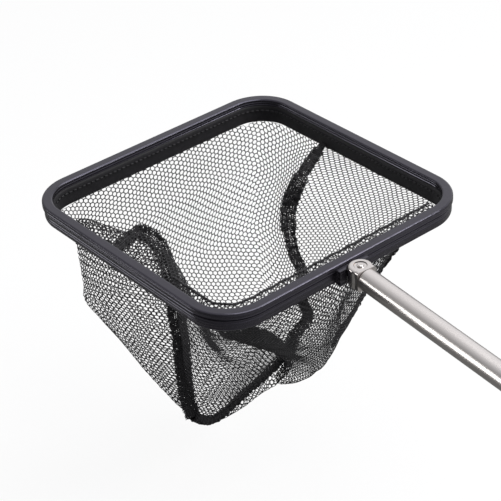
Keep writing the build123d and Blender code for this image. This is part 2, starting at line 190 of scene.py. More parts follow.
floor_paint = bpy.data.materials.new("pale_floor")
floor_paint.use_nodes = True
tree = floor_paint.node_tree
shader = tree.nodes["Principled BSDF"]
shader.inputs["Base Color"].default_value = FLOOR_COLOUR
shader.inputs["Roughness"].default_value = 0.9
glow = node(tree, "ShaderNodeEmission")
mix = node(tree, "ShaderNodeMixShader")
floor_place = node(tree, "ShaderNodeNewGeometry").outputs["Position"]
mirrored = along(tree, floor_place, RIGHTWARDS, start=-0.1, end=0.25, low=MIRRORED_LEFT, high=MIRRORED_RIGHT)
tree.links.new(by_ray(tree, 1.0, mirrored, 1.0), glow.inputs["Strength"])
tree.links.new(by_ray(tree, FLOOR_WHITE, 1.0, 0.0), mix.inputs[0])
tree.links.new(shader.outputs[0], mix.inputs[1])
tree.links.new(glow.outputs[0], mix.inputs[2])
tree.links.new(mix.outputs[0], tree.nodes["Material Output"].inputs["Surface"])

bm = bmesh.new()
bmesh.ops.create_grid(bm, x_segments=1, y_segments=1, size=FLOOR_HALF)
bmesh.ops.translate(bm, verts=bm.verts, vec=(0, 0, cad_box[0].z - FLOOR_DROP))
floor_mesh = bpy.data.meshes.new("floor")
bm.to_mesh(floor_mesh)
bm.free()
floor_mesh.materials.append(floor_paint)
floor = bpy.data.objects.new("floor", floor_mesh)
scene.collection.objects.link(floor)

# %% [markdown]
# Glossy plastic and steel show their lamps as bright lines, so the lamps are soft squares of light.
# A large one hangs overhead, one at the right draws a line along the rounded edges of the rings,
# and a low one at the left runs along the tube as its brightest line.

# %% Lamps
def soft_lamp(name, place, aim, size, power, diffuse=1.0):
    """A square area lamp, placed and aimed in millimetres from the rim's centre, metres wide."""
    data = bpy.data.lights.new(name, "AREA")
    data.size = size
    data.energy = power
    data.diffuse_factor = diffuse
    lamp = bpy.data.objects.new(name, data)
    place, aim = FROM_RIM @ Vector(place), FROM_RIM @ Vector(aim)
    lamp.rotation_mode = "QUATERNION"
    lamp.location = place
    lamp.rotation_quaternion = (aim - place).to_track_quat("-Z", "Y")
    scene.collection.objects.link(lamp)


soft_lamp("overhead", place=(100, 300, 900), aim=(0, 0, -40), size=0.7, power=6)
soft_lamp("left_fill", place=(-600, -660, 30), aim=(100, 0, 0), size=0.42, power=3.0, diffuse=0.2)
soft_lamp("right_key", place=(620, 540, 640), aim=(0, 0, -20), size=0.3, power=5)

# %% [markdown]
# ## Finishes
# Each finish is a Principled shader with a little noise in its roughness and its bump, read from
# Object coordinates, so that it stays still on the piece. Pictures of plastic and steel would need
# unwrapped surfaces; noise works on any shape as it is.

# %% Helpers for finishes
def finish(name, colour, roughness, metallic=0.0, **inputs):
    """A material, its tree and its Principled shader, plain until noise is drawn on it."""
    paint = bpy.data.materials.new(name)
    paint.use_nodes = True
    principled = paint.node_tree.nodes["Principled BSDF"]
    principled.inputs["Base Color"].default_value = (*colour, 1)
    principled.inputs["Roughness"].default_value = roughness
    principled.inputs["Metallic"].default_value = metallic
    for socket, value in inputs.items():
        principled.inputs[socket.replace("_", " ")].default_value = value
    return paint, paint.node_tree, principled


def grain(tree, size, stretch=(1, 1, 1), detail=3.0):
    """Noise on Object coordinates, with grains of a size in mm, stretched along an axis."""
    place = node(tree, "ShaderNodeTexCoord")
    scaled = node(tree, "ShaderNodeMapping")
    scaled.inputs["Scale"].default_value = [1 / s for s in stretch]
    pattern = node(tree, "ShaderNodeTexNoise", Scale=1 / (size * MM), Detail=detail)
    tree.links.new(place.outputs["Object"], scaled.inputs["Vector"])
    tree.links.new(scaled.outputs["Vector"], pattern.inputs["Vector"])
    return pattern.outputs["Fac"]


def ranged(tree, value, low, high, start=0.3, end=0.7):
    """A value between start and end, spread between low and high."""
    spread = node(tree, "ShaderNodeMapRange", From_Min=start, From_Max=end, To_Min=low, To_Max=high)
    tree.links.new(value, spread.inputs["Value"])
    return spread.outputs["Result"]


def roughened(tree, shader, value, smooth, rough):
    """Roughness that varies with a value."""
    tree.links.new(ranged(tree, value, smooth, rough), shader.inputs["Roughness"])


def bumped(tree, shader, value, depth):
    """Height from a value, with a depth in mm, on top of any height it has."""
    bump = node(tree, "ShaderNodeBump", Strength=1.0, Distance=depth * MM)
    tree.links.new(value, bump.inputs["Height"])
    before = shader.inputs["Normal"].links
    if before:
        tree.links.new(before[0].from_socket, bump.inputs["Normal"])
    tree.links.new(bump.outputs["Normal"], shader.inputs["Normal"])


def coloured(tree, shader, value, first, second):
    """Base colour between two colours by a value from 0 to 1."""
    mixed = node(tree, "ShaderNodeMix", data_type="RGBA")
    colours = [s for s in mixed.inputs if s.type == "RGBA"]
    colours[0].default_value, colours[1].default_value = (*first, 1), (*second, 1)
    tree.links.new(value, mixed.inputs["Factor"])
    tree.links.new([s for s in mixed.outputs if s.type == "RGBA"][0], shader.inputs["Base Color"])


# %% [markdown]
# The rings are glossy black plastic with a faint blue cast. Moulded plastic is never quite flat:
# a slow wave in its surface breaks up the long highlights, and small specks of dust lie on it. Level
# ridges run round the rings' sides. They could be cut into the shape, but they are shallow, so bump
# draws them: noise stretched along X and Y varies with height alone.

# %% Rim plastic
RING_BLACK = (0.010, 0.009, 0.011)
DUST_GREY = (0.16, 0.15, 0.16)
BLUE_CAST = (0.82, 0.79, 1.0, 1)    # of what the plastic mirrors
SIDEWAYS = (300, 300, 1)            # stretch that leaves a pattern only its height

rim_plastic, tree, shader = finish("rim_plastic", RING_BLACK, 0.16, IOR=1.5, Specular_Tint=BLUE_CAST)
specks = ranged(tree, grain(tree, 0.35, detail=2.0), 0, 1, start=0.74, end=0.78)
coloured(tree, shader, specks, RING_BLACK, DUST_GREY)
roughened(tree, shader, grain(tree, 3.0), smooth=0.1, rough=0.22)
bumped(tree, shader, grain(tree, 7.0), depth=0.10)
bumped(tree, shader, grain(tree, 0.5), depth=0.003)
bumped(tree, shader, grain(tree, 0.9, stretch=SIDEWAYS, detail=1.0), depth=0.9)

# %% [markdown]
# The tubes are drawn stainless steel: fine lines run along them and vary the roughness. A shader
# with anisotropy would smear the highlight in the same way. Noise that is stretched along the tube
# was chosen, because its lines still show from near.

# %% Steel tube
PALE_STEEL = (0.6, 0.57, 0.55)
DULL_STEEL = (0.56, 0.53, 0.51)

steel_tube, tree, shader = finish("steel_tube", PALE_STEEL, 0.29, metallic=1.0)
lines = grain(tree, 0.12, stretch=(60, 1, 1), detail=5.0)
roughened(tree, shader, lines, smooth=0.27, rough=0.31)
bumped(tree, shader, lines, depth=0.0002)
patches = ranged(tree, grain(tree, 5.0, stretch=(4, 1, 1)), 0, 1)
coloured(tree, shader, patches, PALE_STEEL, DULL_STEEL)

# %% [markdown]
# The knuckle is a plated casting: glossier than the tube, with a soft orange-peel surface. The
# bushes inside the tubes are turned bronze, whose marks run round them, and the end plug is matte
# black plastic. Noise of a size and stretch that suits each is enough for them.

# %% Knuckle, bushes and plug
BRONZE = (0.45, 0.26, 0.12)
PLUG_BLACK = (0.016, 0.016, 0.018)

knuckle_metal, tree, shader = finish("knuckle_metal", DULL_STEEL, 0.14, metallic=1.0)
roughened(tree, shader, grain(tree, 1.2), smooth=0.1, rough=0.26)
bumped(tree, shader, grain(tree, 2.5), depth=0.05)

bush_bronze, tree, shader = finish("bush_bronze", BRONZE, 0.4, metallic=1.0)
roughened(tree, shader, grain(tree, 0.4, stretch=(1, 6, 6)), smooth=0.3, rough=0.55)
bumped(tree, shader, grain(tree, 0.3), depth=0.01)

plug_plastic, tree, shader = finish("plug_plastic", PLUG_BLACK, 0.5, IOR=1.47)
roughened(tree, shader, grain(tree, 0.8), smooth=0.42, rough=0.62)
bumped(tree, shader, grain(tree, 0.35), depth=0.02)

# %% [markdown]
# The netting is black polyester yarn. Its own threads are far finer than a cell, so they aren't
# modelled: a short noise gives the yarn a fibrous surface, and a weak sheen lightens it where light
# grazes it.

# %% Net yarn
YARN_BLACK = (0.003, 0.003, 0.004)
WORN_BLACK = (0.008, 0.007, 0.009)

net_yarn, tree, shader = finish("net_yarn", YARN_BLACK, 0.6, IOR=1.4, Sheen_Weight=0.04)
coloured(tree, shader, ranged(tree, grain(tree, 1.5), 0, 1), YARN_BLACK, WORN_BLACK)
roughened(tree, shader, grain(tree, 0.2), smooth=0.5, rough=0.75)
bumped(tree, shader, grain(tree, 0.12, detail=2.0), depth=0.03)

# %% [markdown]
# The hard pieces keep the shapes that they have in the frame. Each has its material slots already,
# so one table says which finish goes on which piece.

# %% Give the CAD nodes their finishes
CAD_FINISHES = {
    rim_plastic: ("rim_top_ring", "rim_lower_ring"),
    steel_tube: ("grip_tube", "second_tube", "third_tube", "fourth_tube", "tip_rod"),
    knuckle_metal: ("knuckle_fork", "rim_stub", "rivet_washers", "hinge_rivet"),
    bush_bronze: ("second_bush", "third_bush", "fourth_bush", "tip_bush"),
    plug_plastic: ("end_plug",),
}
for paint, names in CAD_FINISHES.items():
    for name in names:
        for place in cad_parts[name].material_slots:
            place.material = paint

# %% [markdown]
# ## The bag
# The real bag is two flat pieces of netting, sewn together along one seam that runs down the left
# side, along the bottom and up the right side. A cloth simulation would let it hang, but its folds
# come from how it was crumpled. So each panel is drawn as ribs: lines on the cloth from the
# rim to the bottom seam. A rib that is held more than once pulls the surface into a crease there.
# All points are in millimetres from the rim's centre.

# %% Lines of the seam and of the near corner's pleat
LEFT_SEAM = (
    (-14, -60, -10), (-17, -50, -8.5), (-19, -40, -9), (-15, -35.5, -14), (-8.5, -35.5, -24),
    (-4, -37.3, -38), (-1, -38.3, -52), (-1, -38.3, -70), (-0.7, -38, -86), (0, -36.5, -95.5),
)
RIGHT_SEAM = (
    (-20, 60, -10), (-16, 44, -17), (-17, 36, -32), (-9, 31, -47), (-1, 29, -54),
    (1, 26.5, -66), (1.5, 28.7, -76), (0.5, 24, -80.5), (0, 20.3, -82.8), (0, 19, -88.5),
)
BOTTOM_SEAM = (
    (0, -36.5, -95.5), (0, -30, -101.5), (0, -23, -103.3), (0, -11, -99.5), (0, 7, -94.5),
    (0, 19, -88.5),
)
PLEAT_OUTER = (
    (53, -59, -10), (48, -52.7, -19), (35.3, -34.3, -38), (17.7, -8.7, -64.5), (0, 17, -91),
)
PLEAT_INNER = (
    (58, -44.5, -10), (55.5, -41.4, -16.5), (37.4, -22.4, -37.5), (17.4, -1.4, -62.5), (-1, 17.5, -86),
)
PLEAT_RETURN = tuple((x + 0.8, y - 0.6, z - 0.2) for x, y, z in PLEAT_OUTER)

# %% [markdown]
# The ribs run round each panel in order: the front one from the left seam over the pleat and the
# edge by the handle to the right seam, the rear one from there round the far side and back.

# %% Ribs of the two panels, each with how many times it is held
FRONT_RIBS = (
    (3, LEFT_SEAM),
    (1, ((0, -60, -10), (-2, -50, -8.6), (-3, -40, -9), (-1, -38.5, -18), (4, -39, -35), (5, -40, -55),
         (4, -39, -75), (1, -36, -92), (0, -33, -99.5))),
    (1, ((12, -60, -10), (12, -51, -9), (12, -43, -9.5), (11, -43, -20), (11, -43, -38), (10, -40, -58),
         (8, -36, -76), (3, -30, -92), (0, -25, -102.5))),
    (1, ((24, -60, -10), (24, -54, -9.5), (23, -49, -10.5), (21, -46, -22), (19, -42, -40),
         (16, -36, -60), (12, -28, -78), (4, -20, -93), (0, -16, -101))),
    (1, ((36, -60.3, -10), (35, -55, -12), (32, -51, -22), (27, -44, -38), (22, -34, -56),
         (15, -23, -74), (6, -13, -90), (0, -8, -98.5))),
    (1, ((46, -60.3, -10), (44, -56, -18), (38, -48, -32), (31, -36, -49), (22, -20, -66),
         (11, -5, -82), (0, 4, -95.5))),
    (1, PLEAT_OUTER),
    (3, PLEAT_INNER),
    (3, PLEAT_RETURN),
    (1, ((60.3, -45, -10), (53, -36, -24), (44, -24, -40), (34, -11, -56), (22, 2, -74), (9, 11, -90),
         (2, 14, -94), (0, 18, -90))),
    (1, ((60.4, -28, -10), (56, -24, -24), (50, -16, -40), (40, -6, -57), (28, 4, -75), (13, 9, -92),
         (3, 8, -98.5), (0, 18.5, -89))),
    (1, ((60.4, -8, -10), (59, -6, -24), (54, -1, -40), (44, 4, -57), (33, 8, -75), (18, 10, -91),
         (7, 7, -99), (1, 8, -99.5), (0, 19, -88.5))),
    (1, ((60.4, 12, -10), (59, 12, -22), (53, 12, -37), (45, 12, -53), (36, 12, -70), (24, 12, -86),
         (12, 10.5, -96.5), (2, 9, -100), (0, 19, -88.5))),
    (3, ((60.4, 30, -10), (57, 27, -16), (48.5, 20, -35), (44.4, 16, -46), (39.8, 14, -54.5),
         (36.3, 12, -63.7), (31, 12, -73), (25.2, 12, -82), (18.5, 12, -90), (11, 11, -96.5),
         (3, 12, -99.5), (0, 19, -88.5))),
    (1, ((60.4, 45, -10), (52, 34, -17), (44, 26, -30), (36, 20, -46), (29, 17, -62), (20, 16, -78),
         (10, 15, -90), (2, 16, -96), (0, 19, -88.5))),
    (1, ((58.9, 57.6, -10), (46, 42, -17), (38, 31, -32), (29, 25, -50), (16, 21, -68), (6, 19, -83),
         (1, 18, -92), (0, 19, -88.5))),
    (1, ((40, 60.4, -10), (33, 49, -20), (27, 39, -33), (20, 31, -48), (11, 26, -62), (3, 24, -76),
         (0, 19, -88.5))),
    (1, ((20, 60.4, -10), (15, 50, -20), (10, 41, -33), (6, 34, -48), (4, 28, -62), (2.5, 26, -74),
         (1, 21, -84), (0, 19, -88.5))),
    (1, ((0, 60.4, -10), (-2, 49, -19), (-5, 40, -32), (-3, 33, -47), (1, 28, -56), (1.5, 25, -68),
         (1, 25, -76), (0, 20.5, -83), (0, 19, -88.5))),
    (3, RIGHT_SEAM),
)
REAR_RIBS = (
    (3, RIGHT_SEAM),
    (1, ((-42, 60.4, -10), (-38, 50, -25), (-31, 42, -39), (-22, 34, -53), (-12, 26, -68),
         (-4, 19, -84), (2, 15, -96), (6, 13.5, -101), (6, 13.5, -99), (0, 16, -90))),
    (2, ((-56, 56, -10), (-50, 46, -27), (-40, 36, -43), (-28, 27, -58), (-16, 19, -73), (-6, 11, -89),
         (1.5, 7, -101.5), (3, 7, -100.3), (0, 9, -94))),
    (1, ((-60.4, 40, -10), (-55, 33, -27), (-45, 26, -44), (-32, 19, -60), (-18, 12, -76), (-7, 5, -91),
         (-1, 2, -102.5), (2, 2, -101.5), (0, 4, -95.5))),
    (1, ((-60.4, 20, -10), (-55, 16, -28), (-46, 11, -45), (-33, 6, -63), (-19, 1, -80), (-8, -3, -95),
         (-1, -5.5, -104.3), (2, -5.5, -103), (0, -4, -97.5))),
    (1, ((-60.4, 0, -10), (-55, -3, -28), (-46, -6, -46), (-33, -9, -64), (-19, -12, -82),
         (-8, -14, -98), (-1, -14.5, -105.8), (2, -14.5, -104.5), (0, -14, -100.5))),
    (1, ((-60.4, -20, -10), (-55, -22, -28), (-46, -24, -48), (-33, -26, -66), (-19, -26, -84),
         (-8, -25, -99), (-1, -23, -106), (1.5, -23, -105), (0, -22, -103))),
    (1, ((-60.4, -40, -10), (-57.5, -41, -25), (-50, -43, -48), (-36, -41, -67), (-19, -36, -84),
         (-7, -33, -98), (-1, -29, -104), (0, -29, -102))),
    (3, ((-56.5, -56.5, -10), (-53, -54, -16), (-50, -52, -26), (-50, -52, -36), (-49.5, -52, -44),
         (-50.8, -52, -51), (-47, -51, -56), (-37.3, -46, -68), (-18, -43, -82), (-6, -38.5, -93),
         (0, -34, -98.5))),
    (1, ((-48, -60.2, -10), (-48, -55, -9), (-48, -48.5, -9.5), (-45, -50, -20), (-44, -52, -36),
         (-45, -52, -49), (-32, -47.5, -66), (-14, -41.5, -83), (0, -35.5, -97.5))),
    (1, ((-36, -60.2, -10), (-36, -53, -8.8), (-36, -46.5, -9), (-34, -47, -18), (-32.5, -50.5, -38),
         (-25, -48.5, -52), (-15, -44, -70), (-6, -39, -86), (0, -36, -97))),
    (1, ((-24, -60.2, -10), (-25, -52, -8.5), (-26, -44, -9), (-22, -44, -17), (-19, -49, -27),
         (-14, -46, -45), (-8, -42, -65), (-4, -39, -83), (0, -36.5, -96))),
    (3, LEFT_SEAM),
)

# %% [markdown]
# A rib becomes a smooth line through its points, cut into even steps. The surface across the ribs
# is a cubic B-spline: at each height it takes a weighted mean of the ribs nearby, which is what
# gives cloth its soft rounding, and a rib that is held three times is met exactly.

# %% Smooth lines and lofted surfaces
FINE_STEPS = 400         # along a line before it is cut evenly
SURFACE_ROWS = 140
SURFACE_COLUMNS = 600


def even_line(points, count):
    """Even points along a smooth curve through the given ones, and the curve's length."""
    points = np.array(points, float)
    gaps = np.sqrt(np.linalg.norm(np.diff(points, axis=0), axis=1))
    knots = np.concatenate([[0], np.cumsum(gaps)])
    slopes = np.diff(points, axis=0) / gaps[:, None]
    before, after = gaps[:-1, None], gaps[1:, None]
    between = (slopes[:-1] * after + slopes[1:] * before) / (before + after)
    tangents = np.concatenate([slopes[:1], between, slopes[-1:]])
    place = np.linspace(0, knots[-1], FINE_STEPS)
    span = np.clip(np.searchsorted(knots, place) - 1, 0, len(points) - 2)
    gap = gaps[span][:, None]
    t = (place - knots[span])[:, None] / gap
    curve = (
        (2 * t**3 - 3 * t**2 + 1) * points[span] + (t**3 - 2 * t**2 + t) * gap * tangents[span]
        + (3 * t**2 - 2 * t**3) * points[span + 1] + (t**3 - t**2) * gap * tangents[span + 1]
    )
    run = np.concatenate([[0], np.cumsum(np.linalg.norm(np.diff(curve, axis=0), axis=1))])
    even = np.linspace(0, run[-1], count)
    return np.stack([np.interp(even, run, curve[:, axis]) for axis in range(3)], 1), run[-1]


def spline_weights(held, place):
    """Weights of a clamped cubic B-spline's control lines at each place along it."""
    knots = np.concatenate([[0] * 3, np.arange(held - 2), [held - 3] * 3])
    place = np.clip(place, 0, held - 3 - 1e-9)[:, None]
    weights = ((place >= knots[:-1]) & (place < knots[1:])).astype(float)
    for degree in (1, 2, 3):
        wide = knots[degree:] - knots[:-degree]
        wide = np.where(wide > 0, wide, np.inf)
        rising = (place - knots[:-degree]) / wide
        weights = rising[:, :-1] * weights[:, :-1] + (1 - rising[:, 1:]) * np.where(
            np.isinf(wide[1:]), 0, weights[:, 1:])
    return weights


def loft(ribs):
    """Rows of points on the surface through the ribs, and the ribs' mean length."""
    lines, lengths = [], []
    for times, points in ribs:
        line, length = even_line(points, SURFACE_ROWS)
        lines += [line] * times
        lengths.append(length)
    weights = spline_weights(len(lines), np.linspace(0, len(lines) - 3, SURFACE_COLUMNS))
    return np.einsum("ck,krx->rcx", weights, np.array(lines)), sum(lengths) / len(lengths)


# %% [markdown]
# Knitted netting like this is a honeycomb. A texture with holes would be lighter, but its strands
# would have no thickness. Flat, real strands are quick to make from one six-sided cell that is
# repeated down and across, merged, and inset, so that each cell keeps a thin border and loses its
# middle. Laying it on a surface moves every point from its flat place to the same distance along
# the surface, so cells keep their size and the folds bend them. The noise that crumples it would
# start elsewhere on each run, so it gets a seed.

# %% Flat netting
CELL = 2.0            # mm between the flat sides of a cell
YARN_WIDTH = 0.36
YARN_THICKNESS = 0.2
CELL_SIDE = CELL / math.sqrt(3)
COLUMN_STEP = 1.5 * CELL_SIDE
MERGE_SHARE = 0.02    # of a face's side, within which corners become one
CRUMPLE_SEED = 1795549679    # another number crumples the cloth in another way

noise.seed_set(CRUMPLE_SEED)


def flat_netting(left, right, length, inside, cell=1.0, yarn=YARN_WIDTH):
    """Honeycomb from left to right and down to length, kept where inside(x, y) is true.

    The cells are cell times the usual size. Gives the mesh and its number of cells.
    """
    bm = bmesh.new()
    side, high, step = CELL_SIDE * cell, CELL * cell, COLUMN_STEP * cell
    first = math.floor(left / (2 * step)) * 2 * step
    columns = math.ceil((right - first) / (2 * step)) + 1
    rows = math.ceil(length / high) + 1
    for odd in (0, 1):
        earlier = set(bm.faces)
        middle = Matrix.Translation((first + odd * step, odd * high / 2, 0))
        turn = Matrix.Rotation(math.pi / 6, 4, "Z")
        bmesh.ops.create_circle(bm, cap_ends=True, segments=6, radius=side, matrix=middle @ turn)
        for move, steps in (((0, high, 0), rows), ((2 * step, 0, 0), columns)):
            faces = [face for face in bm.faces if face not in earlier]
            edges = {edge for face in faces for edge in face.edges}
            corners = {vertex for face in faces for vertex in face.verts}
            bmesh.ops.spin(bm, geom=faces + list(edges) + list(corners), cent=(0, 0, 0), axis=(0, 0, 1),
                           dvec=move, angle=0, steps=steps, use_duplicate=True)
    bmesh.ops.remove_doubles(bm, verts=bm.verts, dist=MERGE_SHARE * side)
    outside = [f for f in bm.faces if not inside(*f.calc_center_median().xy)]
    bmesh.ops.delete(bm, geom=outside, context="FACES")
    cells = bm.faces[:]
    bmesh.ops.inset_individual(bm, faces=cells, thickness=yarn / 2, use_even_offset=True)
    bmesh.ops.delete(bm, geom=cells, context="FACES_ONLY")
    return bm, len(cells)


def along_rows(grid, middle):
    """Distance of each point along its row, from the row's share that counts as its middle."""
    steps = np.linalg.norm(np.diff(grid, axis=1), axis=2)
    run = np.concatenate([np.zeros((len(grid), 1)), np.cumsum(steps, axis=1)], axis=1)
    return run - run[:, -1:] * middle


def lay(bm, grid, run, length):
    """Moves flat netting onto a surface: x along its rows, y down through them."""
    flat = np.array([v.co[:2] for v in bm.verts])
    place = np.clip(flat[:, 1] / length, 0, 1) * (len(grid) - 1)
    upper = np.minimum(place.astype(int), len(grid) - 2)
    found = np.zeros((len(flat), 3))
    for row in np.unique(upper):
        here = upper == row
        share = (place[here] - row)[:, None]
        above, below = (
            np.stack([np.interp(flat[here, 0], run[r], grid[r, :, axis]) for axis in range(3)], 1)
            for r in (row, row + 1)
        )
        found[here] = above * (1 - share) + below * share
    for vertex, point in zip(bm.verts, found):
        vertex.co = point


def crumple(bm, size, depth):
    """Small uneven moves, as in cloth that was folded, with waves of a size and depth in mm."""
    for vertex in bm.verts:
        vertex.co += noise.noise_vector(vertex.co / size) * depth


def yarn_piece(name, bm):
    """A smooth yarn object from flat netting in the rim's millimetres, riding on the net's head."""
    bm.transform(FROM_RIM)
    mesh = bpy.data.meshes.new(name)
    bm.to_mesh(mesh)
    bm.free()
    mesh.materials.append(net_yarn)
    for face in mesh.polygons:
        face.use_smooth = True
    piece = bpy.data.objects.new(name, mesh)
    scene.collection.objects.link(piece)
    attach(piece, "net_head")
    wall = piece.modifiers.new("thickness", "SOLIDIFY")
    wall.thickness = YARN_THICKNESS * MM
    wall.offset = 0
    return piece


def join(bm, other):
    """Moves another bmesh's geometry into the first."""
    mesh = bpy.data.meshes.new("joined")
    other.to_mesh(mesh)
    other.free()
    bm.from_mesh(mesh)
    bpy.data.meshes.remove(mesh)


def yarn_area(bm):
    """Area that the yarn covers, in square metres."""
    return sum(face.calc_area() for face in bm.faces) * MM**2


# %% [markdown]
# The front panel is the bigger one, so it is laid in two pieces that meet inside the pleat, each
# measured from its own middle. The panel at the rear hangs nearly straight, and its cells are drawn
# out sideways below the rim.

# %% The two panels
PLEAT_SHARE = 1 / 3      # of the front panel's width, from the left seam
REAR_STRETCH = 1.15      # of the rear panel's cells at the rim
PANEL_WAVE = 9.0         # crumpling of the panels, in mm
PANEL_WAVE_DEPTH = 0.45


def net_panel(name, grid, length, start, end, replaced=None, stretch=1.0):
    """One piece of a panel: netting laid on its surface between two shares of its width.

    Its cells are drawn out sideways by the stretch at the rim, and not at all at the bottom.
    """
    first, last = round(start * (SURFACE_COLUMNS - 1)), round(end * (SURFACE_COLUMNS - 1))
    grid = grid[:, first:last + 1]
    run = along_rows(grid, 0.5) / np.linspace(stretch, 1, len(grid))[:, None]
    places = np.linspace(0, length, len(grid))

    def inside(x, y):
        return 0 <= y <= length and np.interp(y, places, run[:, 0]) <= x < np.interp(y, places, run[:, -1])

    bm, cells = flat_netting(run.min(), run.max(), length, inside)
    area = yarn_area(bm)
    lay(bm, grid, run, length)
    crumple(bm, PANEL_WAVE, PANEL_WAVE_DEPTH)
    piece = yarn_piece(name, bm)
    if replaced:
        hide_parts(replaced)


front_grid, front_length = loft(FRONT_RIBS)
rear_grid, rear_length = loft(REAR_RIBS)
net_panel("front_net_left", front_grid, front_length, 0, PLEAT_SHARE)
net_panel("front_net_right", front_grid, front_length, PLEAT_SHARE, 1, replaced="net_front_panel")
net_panel("rear_net", rear_grid, rear_length, 0, 1, replaced="net_rear_panel", stretch=REAR_STRETCH)

# %% [markdown]
# Where the panels are sewn together their edges stand out as a frill that the thread draws up. A
# thick cord would give its line, but not its ragged edge. So it is made as ribbons of tighter
# netting that follow the seam, one over the other, each with its own ripple. Along the bottom the
# frill has rolled itself into a rope.

# %% Bands of gathered netting
GATHER = 1.5          # cloth length for each length of thread
BAND_CELL = 0.58      # of the usual cell
BAND_YARN = 0.56
BAND_WAVE = 1.8       # crumpling of the bands, in mm
BAND_WAVE_DEPTH = 0.5
BAND_ROWS = 240
BAND_COLUMNS = 13
LAYER_TURN = 2.1      # from one layer's ripple to the next, in radians
LAYER_LIFT = 0.35     # from one layer to the next, in mm
LAYER_SHIFT = Vector((0.07, -0.05, 0.09))
RIPPLE_LENGTH = 3.4
RIPPLE_DEPTH = 0.9
RIPPLE_DRIFT = (1.6, 0.21)   # radians, and radians a mm
RAGGED_EDGE = ((0.16, 1.7, 1.0), (0.2, 3.9, 2.3))    # share of the width, radians a mm, phase
ROLL_OVERLAP = 0.3    # of a turn, from one layer to the next
ROLL_TWIST = (0.35, 0.9)     # radians, and radians a mm
ROLL_SWELL = (0.14, 2.6)     # share of the radius, and radians a mm


def path_frame(path, rows):
    """Points along a path, the directions across and out of it as the camera sees it, its length."""
    line, length = even_line(path, rows)
    tangent = np.gradient(line, axis=0)
    tangent /= np.linalg.norm(tangent, axis=1)[:, None]
    across = np.cross(to_camera, tangent)
    across /= np.linalg.norm(across, axis=1)[:, None]
    return line, across, np.cross(tangent, across), length


def ruffle(place, share, width, layer):
    """A rippled ribbon's offsets across and out of its path."""
    turn = LAYER_TURN * layer
    ragged = 1.0
    for size, pace, phase in RAGGED_EDGE:
        ragged = ragged + size * np.sin(place * pace + phase * turn)
    drift, drift_pace = RIPPLE_DRIFT
    uneven = drift * np.sin(place * drift_pace + layer)
    ripple = np.sin(2 * math.pi * place / RIPPLE_LENGTH + turn + uneven)
    offset = (width * ragged)[:, None] * share
    lift = (RIPPLE_DEPTH * ripple)[:, None] * np.abs(share) * 2 + LAYER_LIFT * (layer - 0.5)
    return offset, lift


def roll(place, share, width, layer):
    """A ribbon rolled up round its path."""
    twist, twist_pace = ROLL_TWIST
    swell, swell_pace = ROLL_SWELL
    angle = 2 * math.pi * (share + ROLL_OVERLAP * layer) + twist * np.sin(place * twist_pace)[:, None]
    radius = (width / 2 - LAYER_LIFT * layer) * (1 + swell * np.sin(place * swell_pace + layer))
    return radius[:, None] * np.cos(angle), radius[:, None] * np.sin(angle)


def gathered_band(name, path, widths, layers, shape, gather=GATHER):
    """Layers of gathered netting along a path, as wide as widths says along it, in one piece."""
    line, across, out, length = path_frame(path, BAND_ROWS)
    place = np.linspace(0, length, BAND_ROWS)
    width = np.interp(place / length, np.linspace(0, 1, len(widths)), widths)
    share = np.linspace(-0.5, 0.5, BAND_COLUMNS)[None]
    cloth = length * gather
    flat_widths = width * (math.pi if shape is roll else 1.0)
    widest = flat_widths.max()

    def inside(x, y):
        return 0 <= y <= cloth and abs(x) <= np.interp(y / gather, place, flat_widths) / 2

    everything, area, cells = bmesh.new(), 0.0, 0
    for layer in range(layers):
        offset, lift = shape(place, share, width, layer)
        grid = line[:, None] + across[:, None] * offset[..., None] + out[:, None] * lift[..., None]
        bm, count = flat_netting(-widest, widest, cloth, inside, cell=BAND_CELL, yarn=BAND_YARN)
        area += yarn_area(bm)
        cells += count
        lay(bm, grid, along_rows(grid, 0.5), cloth)
        crumple(bm, BAND_WAVE, BAND_WAVE_DEPTH)
        bm.transform(Matrix.Translation(LAYER_SHIFT * layer))
        join(everything, bm)
    piece = yarn_piece(name, everything)
    return piece


# %% [markdown]
# The one seam is laid as three bands, because its sides are frilled and its bottom is rolled. Their
# widths change along the way, as the real frill swells and narrows.

# %% The seam: left side, bottom and right side
LEFT_WIDTHS = (4.5, 6, 7.5, 7.5, 7.5, 7, 6)
BOTTOM_WIDTHS = (4.2, 3.4, 3.2, 3.2)
RIGHT_WIDTHS = (3.5, 5.5, 7.5, 6, 5, 4.4, 4.2, 4)

left_seam = gathered_band("left_seam", LEFT_SEAM, LEFT_WIDTHS, 3, ruffle)
gathered_band("bottom_seam", BOTTOM_SEAM, BOTTOM_WIDTHS, 3, roll)
gathered_band("right_seam", RIGHT_SEAM, RIGHT_WIDTHS, 4, ruffle)
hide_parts("net_seam")

# %% [markdown]
# The front panel's edge nearest the handle is folded sharply, and its layers lie on each other as a
# dark line down that fold. A thin roll of the same netting is enough to draw that line.

# %% Folded edge
EDGE_FOLD = (
    (59, 28.5, -12.5), (57, 27, -16), (48.5, 20, -35), (44.4, 16, -46), (39.8, 14, -54.5),
    (36.3, 12, -63.7),
)
FOLD_WIDTHS = (1.4, 1.5, 1.7, 1.7, 1.4)
FOLD_GATHER = 1.1
gathered_band("edge_fold", EDGE_FOLD, FOLD_WIDTHS, 2, roll, gather=FOLD_GATHER)

# %% [markdown]
# ## The hem
# Everything in the hem follows the rings' inner side, which is a rounded square. A profile that is
# carried round it gives the surface for each part, and the stitches stand on such a line too.

